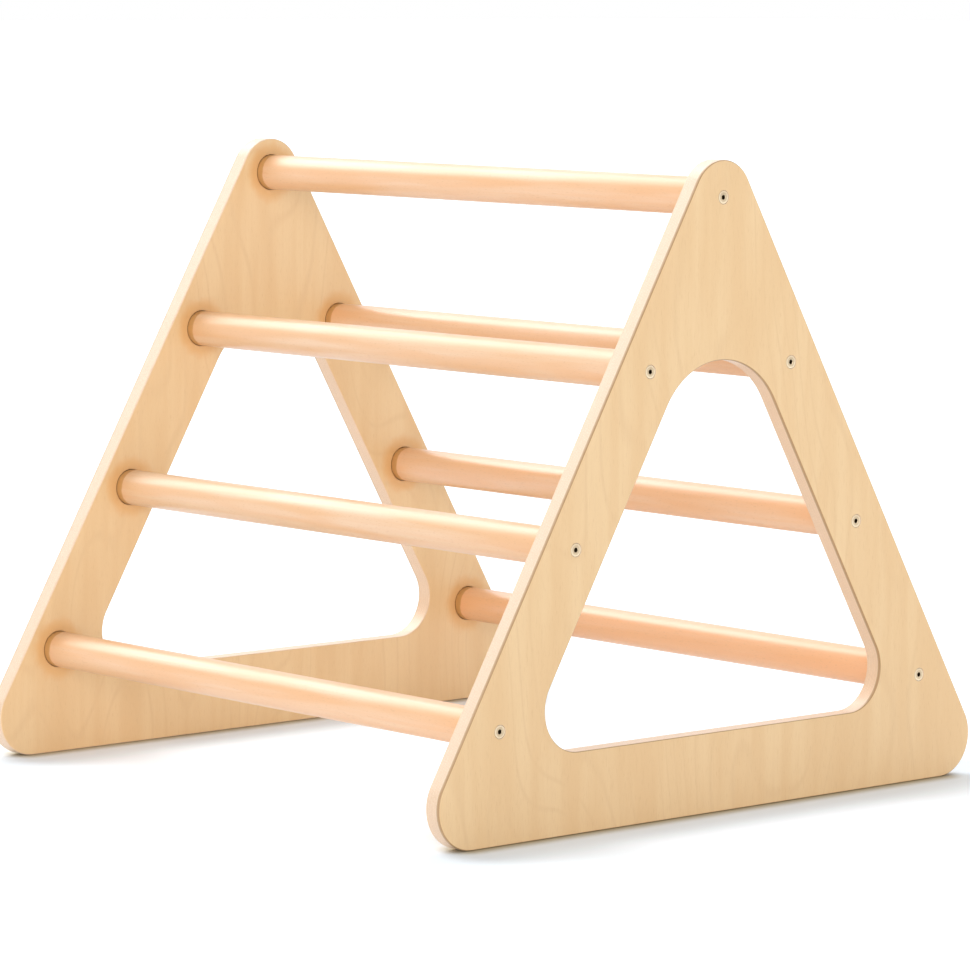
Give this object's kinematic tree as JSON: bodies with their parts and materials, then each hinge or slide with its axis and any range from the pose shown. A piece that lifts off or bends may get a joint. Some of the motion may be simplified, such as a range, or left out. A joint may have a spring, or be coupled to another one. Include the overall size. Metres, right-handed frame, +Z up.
{
  "type": "climbing triangle",
  "caption": "Free-standing wooden climbing triangle: two plywood side panels with triangular cut-outs, joined by round rungs up both slopes and one along the top.",
  "frame": {"origin": "bottom centre of the bounding box: on the floor, midway between the side panels and under the top rung", "axes": "+X along the rungs to the right-hand panel, -Y towards the front slope, +Z up"},
  "size_m": [0.676, 0.678, 0.6005],
  "materials": {
    "birch_plywood": "clear matt lacquer over birch plywood, pale grain running upright",
    "beech": "turned and sanded, clear satin lacquer",
    "bolt_steel": "bright zinc plated",
    "insert_brass": "plain, hidden inside the rungs"
  },
  "bodies": {
    "root": {"bolt_left_back_lower": "bolt_steel", "bolt_left_back_middle": "bolt_steel", "bolt_left_back_upper": "bolt_steel", "bolt_left_front_lower": "bolt_steel", "bolt_left_front_middle": "bolt_steel", "bolt_left_front_upper": "bolt_steel", "bolt_left_top": "bolt_steel", "bolt_right_back_lower": "bolt_steel", "bolt_right_back_middle": "bolt_steel", "bolt_right_back_upper": "bolt_steel", "bolt_right_front_lower": "bolt_steel", "bolt_right_front_middle": "bolt_steel", "bolt_right_front_upper": "bolt_steel", "bolt_right_top": "bolt_steel", "insert_left_back_lower": "insert_brass", "insert_left_back_middle": "insert_brass", "insert_left_back_upper": "insert_brass", "insert_left_front_lower": "insert_brass", "insert_left_front_middle": "insert_brass", "insert_left_front_upper": "insert_brass", "insert_left_top": "insert_brass", "insert_right_back_lower": "insert_brass", "insert_right_back_middle": "insert_brass", "insert_right_back_upper": "insert_brass", "insert_right_front_lower": "insert_brass", "insert_right_front_middle": "insert_brass", "insert_right_front_upper": "insert_brass", "insert_right_top": "insert_brass", "rung_back_lower": "beech", "rung_back_middle": "beech", "rung_back_upper": "beech", "rung_front_lower": "beech", "rung_front_middle": "beech", "rung_front_upper": "beech", "rung_top": "beech", "side_panel_left": "birch_plywood", "side_panel_right": "birch_plywood"}
  },
  "joints": []
}
